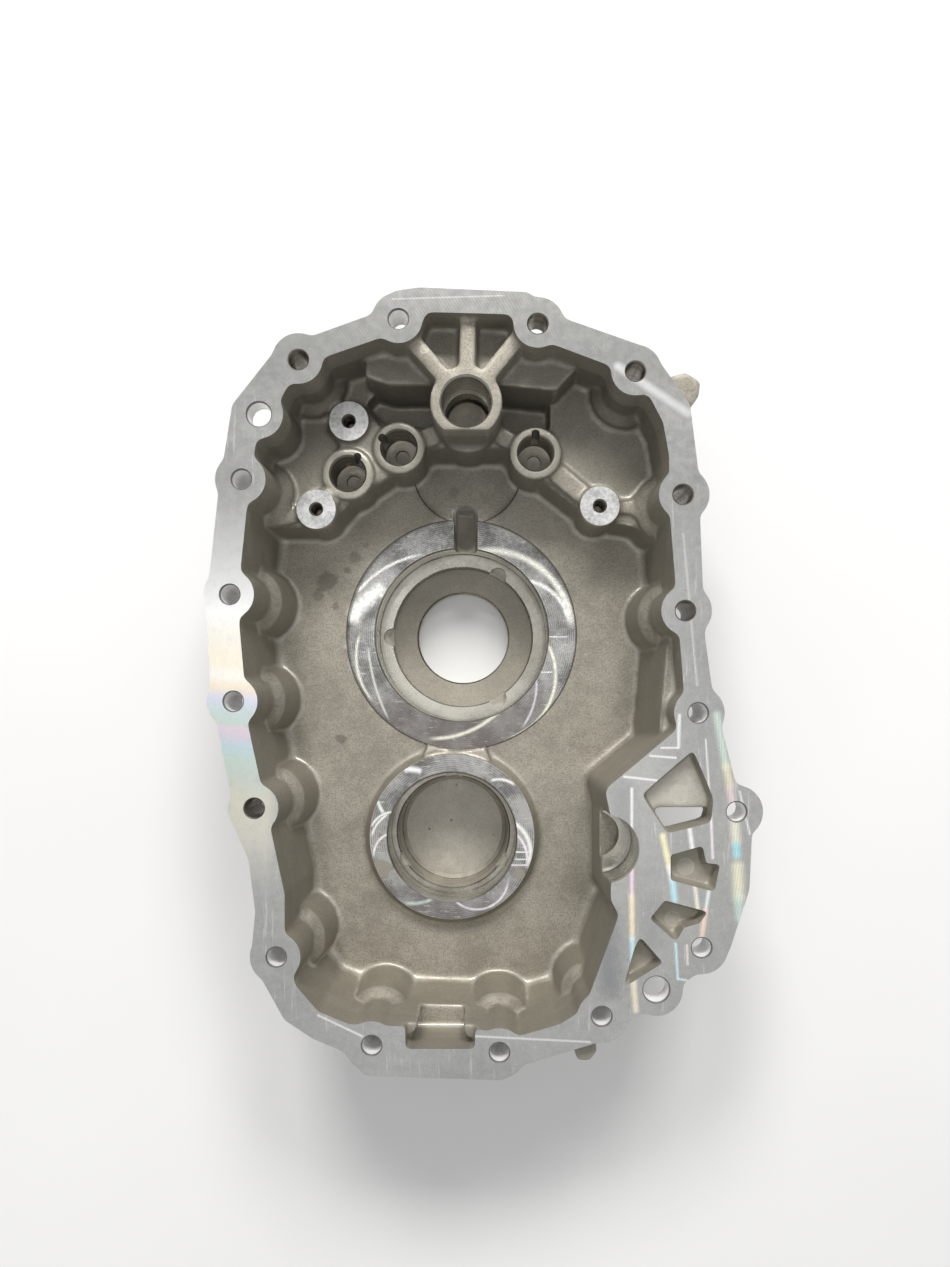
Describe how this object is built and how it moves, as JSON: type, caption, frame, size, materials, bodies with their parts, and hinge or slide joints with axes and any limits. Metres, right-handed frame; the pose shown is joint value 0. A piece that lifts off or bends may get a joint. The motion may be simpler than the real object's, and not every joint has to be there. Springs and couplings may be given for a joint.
{
  "type": "transmission tail housing",
  "caption": "Bowl-shaped die-cast end housing with a bolted joint flange, two bearing seats, selector rail bosses and a wide machined relief area.",
  "frame": {"origin": "axis of the main bearing seat, on the ring face round its mouth", "axes": "+Z out of the open side towards the joint face, along the main bearing axis; +Y towards the selector rail bosses; +X towards the wide machined area"},
  "size_m": [0.2408, 0.341, 0.1],
  "materials": {
    "cast_aluminium": "die-cast, matt, with bright milled faces and bores"
  },
  "bodies": {
    "root": {"tail_housing": "cast_aluminium"}
  },
  "joints": []
}
